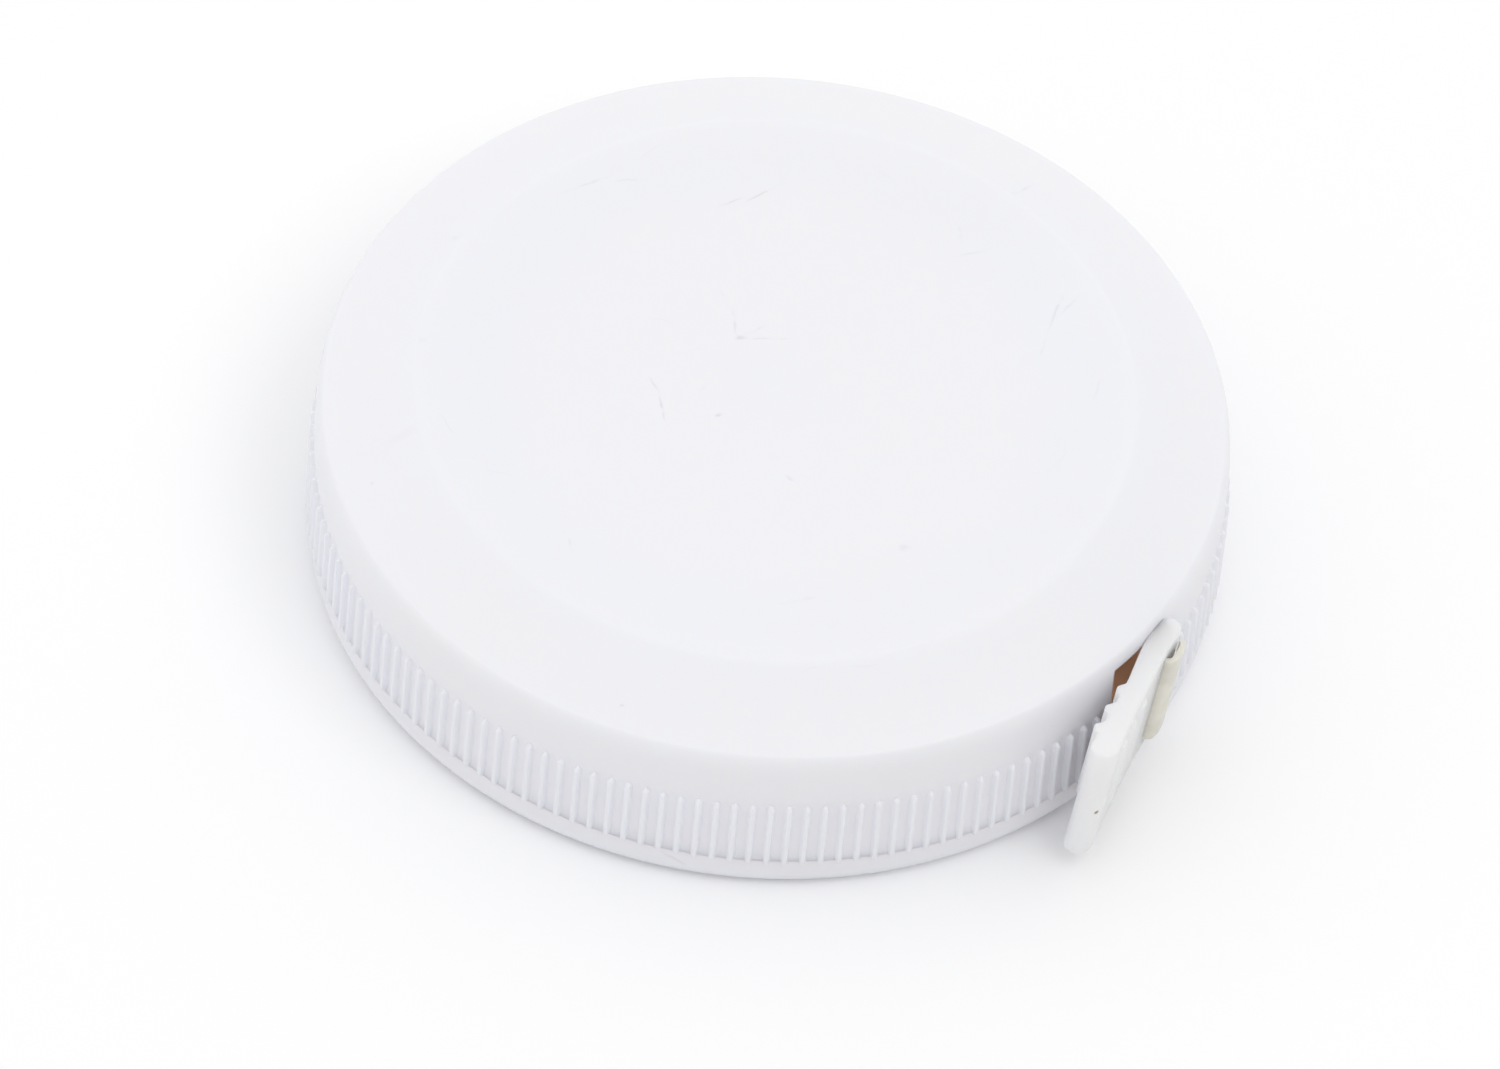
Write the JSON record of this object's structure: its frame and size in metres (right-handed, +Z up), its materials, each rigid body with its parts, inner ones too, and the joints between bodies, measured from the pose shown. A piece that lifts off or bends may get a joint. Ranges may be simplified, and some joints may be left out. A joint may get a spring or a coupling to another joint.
{
  "type": "retractable tape measure",
  "caption": "Round pocket tape measure for sewing: ribbed white moulded case, spring-wound tape with a grip tab at its slot, and a release button in the underside.",
  "frame": {"origin": "on the reel's axis, in the plane that the case rests on", "axes": "+Z up out of the raised flat face, along the reel's axis; the tape leaves at the right front and is pulled out towards -Y"},
  "size_m": [0.052, 0.052, 0.0129],
  "materials": {
    "shell_plastic": "satin moulded plastic with fine scuffs",
    "tab_plastic": "smooth moulded plastic, slightly translucent",
    "inner_plastic": "plain moulded plastic",
    "tape_cloth": "coated glass-fibre cloth with printed divisions",
    "brake_rubber": "matt moulded rubber",
    "washer_steel": "stamped and drawn steel",
    "spring_steel": "blued spring strip"
  },
  "bodies": {
    "case": {"top_shell": "shell_plastic", "bottom_cover": "shell_plastic", "centre_post": "inner_plastic", "thrust_washer": "washer_steel", "retaining_ring": "washer_steel"},
    "reel": {"reel_drum": "inner_plastic", "drum_lid": "inner_plastic", "spring_shim": "inner_plastic", "mainspring": "spring_steel", "tape_winding": "tape_cloth", "tape_key": "inner_plastic"},
    "tape_end": {"tape_lead": "tape_cloth", "pull_tab": "tab_plastic"},
    "button": {"release_button": "shell_plastic", "brake_disc": "inner_plastic", "brake_ring": "brake_rubber", "brake_spring": "washer_steel", "stem_screw": "washer_steel"}
  },
  "joints": [
    {"name": "reel_spin", "type": "hinge", "parent": "case", "child": "reel", "pos_m": [0, 0, 0.006], "axis": [0, 0, -1], "range_deg": [0, 5040], "stiffness_Nm_per_rad": 0.00015, "springref_deg": -572.96, "deforming": ["mainspring"]},
    {"name": "tape_pull", "type": "slide", "parent": "case", "child": "tape_end", "axis": [-0.0401, -0.9992, 0], "range_m": [0, 1.474]},
    {"name": "button_press", "type": "slide", "parent": "case", "child": "button", "axis": [0, 0, 1], "range_m": [0, 0.0008], "stiffness_N_per_m": 400, "springref_m": -0.002, "deforming": ["brake_spring"]}
  ],
  "couplings": [
    {"joint": "tape_pull", "follows": "reel_spin", "m_per_rad": 0.01675}
  ]
}
